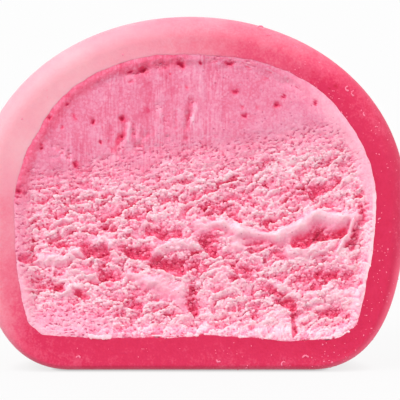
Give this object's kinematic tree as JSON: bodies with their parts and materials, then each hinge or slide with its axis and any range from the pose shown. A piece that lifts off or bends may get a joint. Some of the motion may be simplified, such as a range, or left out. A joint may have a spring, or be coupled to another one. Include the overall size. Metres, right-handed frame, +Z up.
{
  "type": "mochi rice cake",
  "caption": "Half of a domed mochi rice cake, cut straight down: a soft pink rice-dough skin wrapped round a filling of pink ice cream with a torn, craggy face.",
  "frame": {"origin": "middle of the base of the part's box, on the surface that it stands on", "axes": "+X to the right along the cut, +Y away from the cut towards the rounded back, +Z up"},
  "size_m": [0.046, 0.0232, 0.0377],
  "materials": {
    "mochi_dough": "soft satin dough with a faint bloom of starch, paler towards the crown and deeper pink round the foot",
    "ice_cream": "matt frozen cream, smeared smooth near the top and torn into crags lower down"
  },
  "bodies": {
    "root": {"mochi_skin": "mochi_dough", "ice_cream": "ice_cream"}
  },
  "joints": []
}
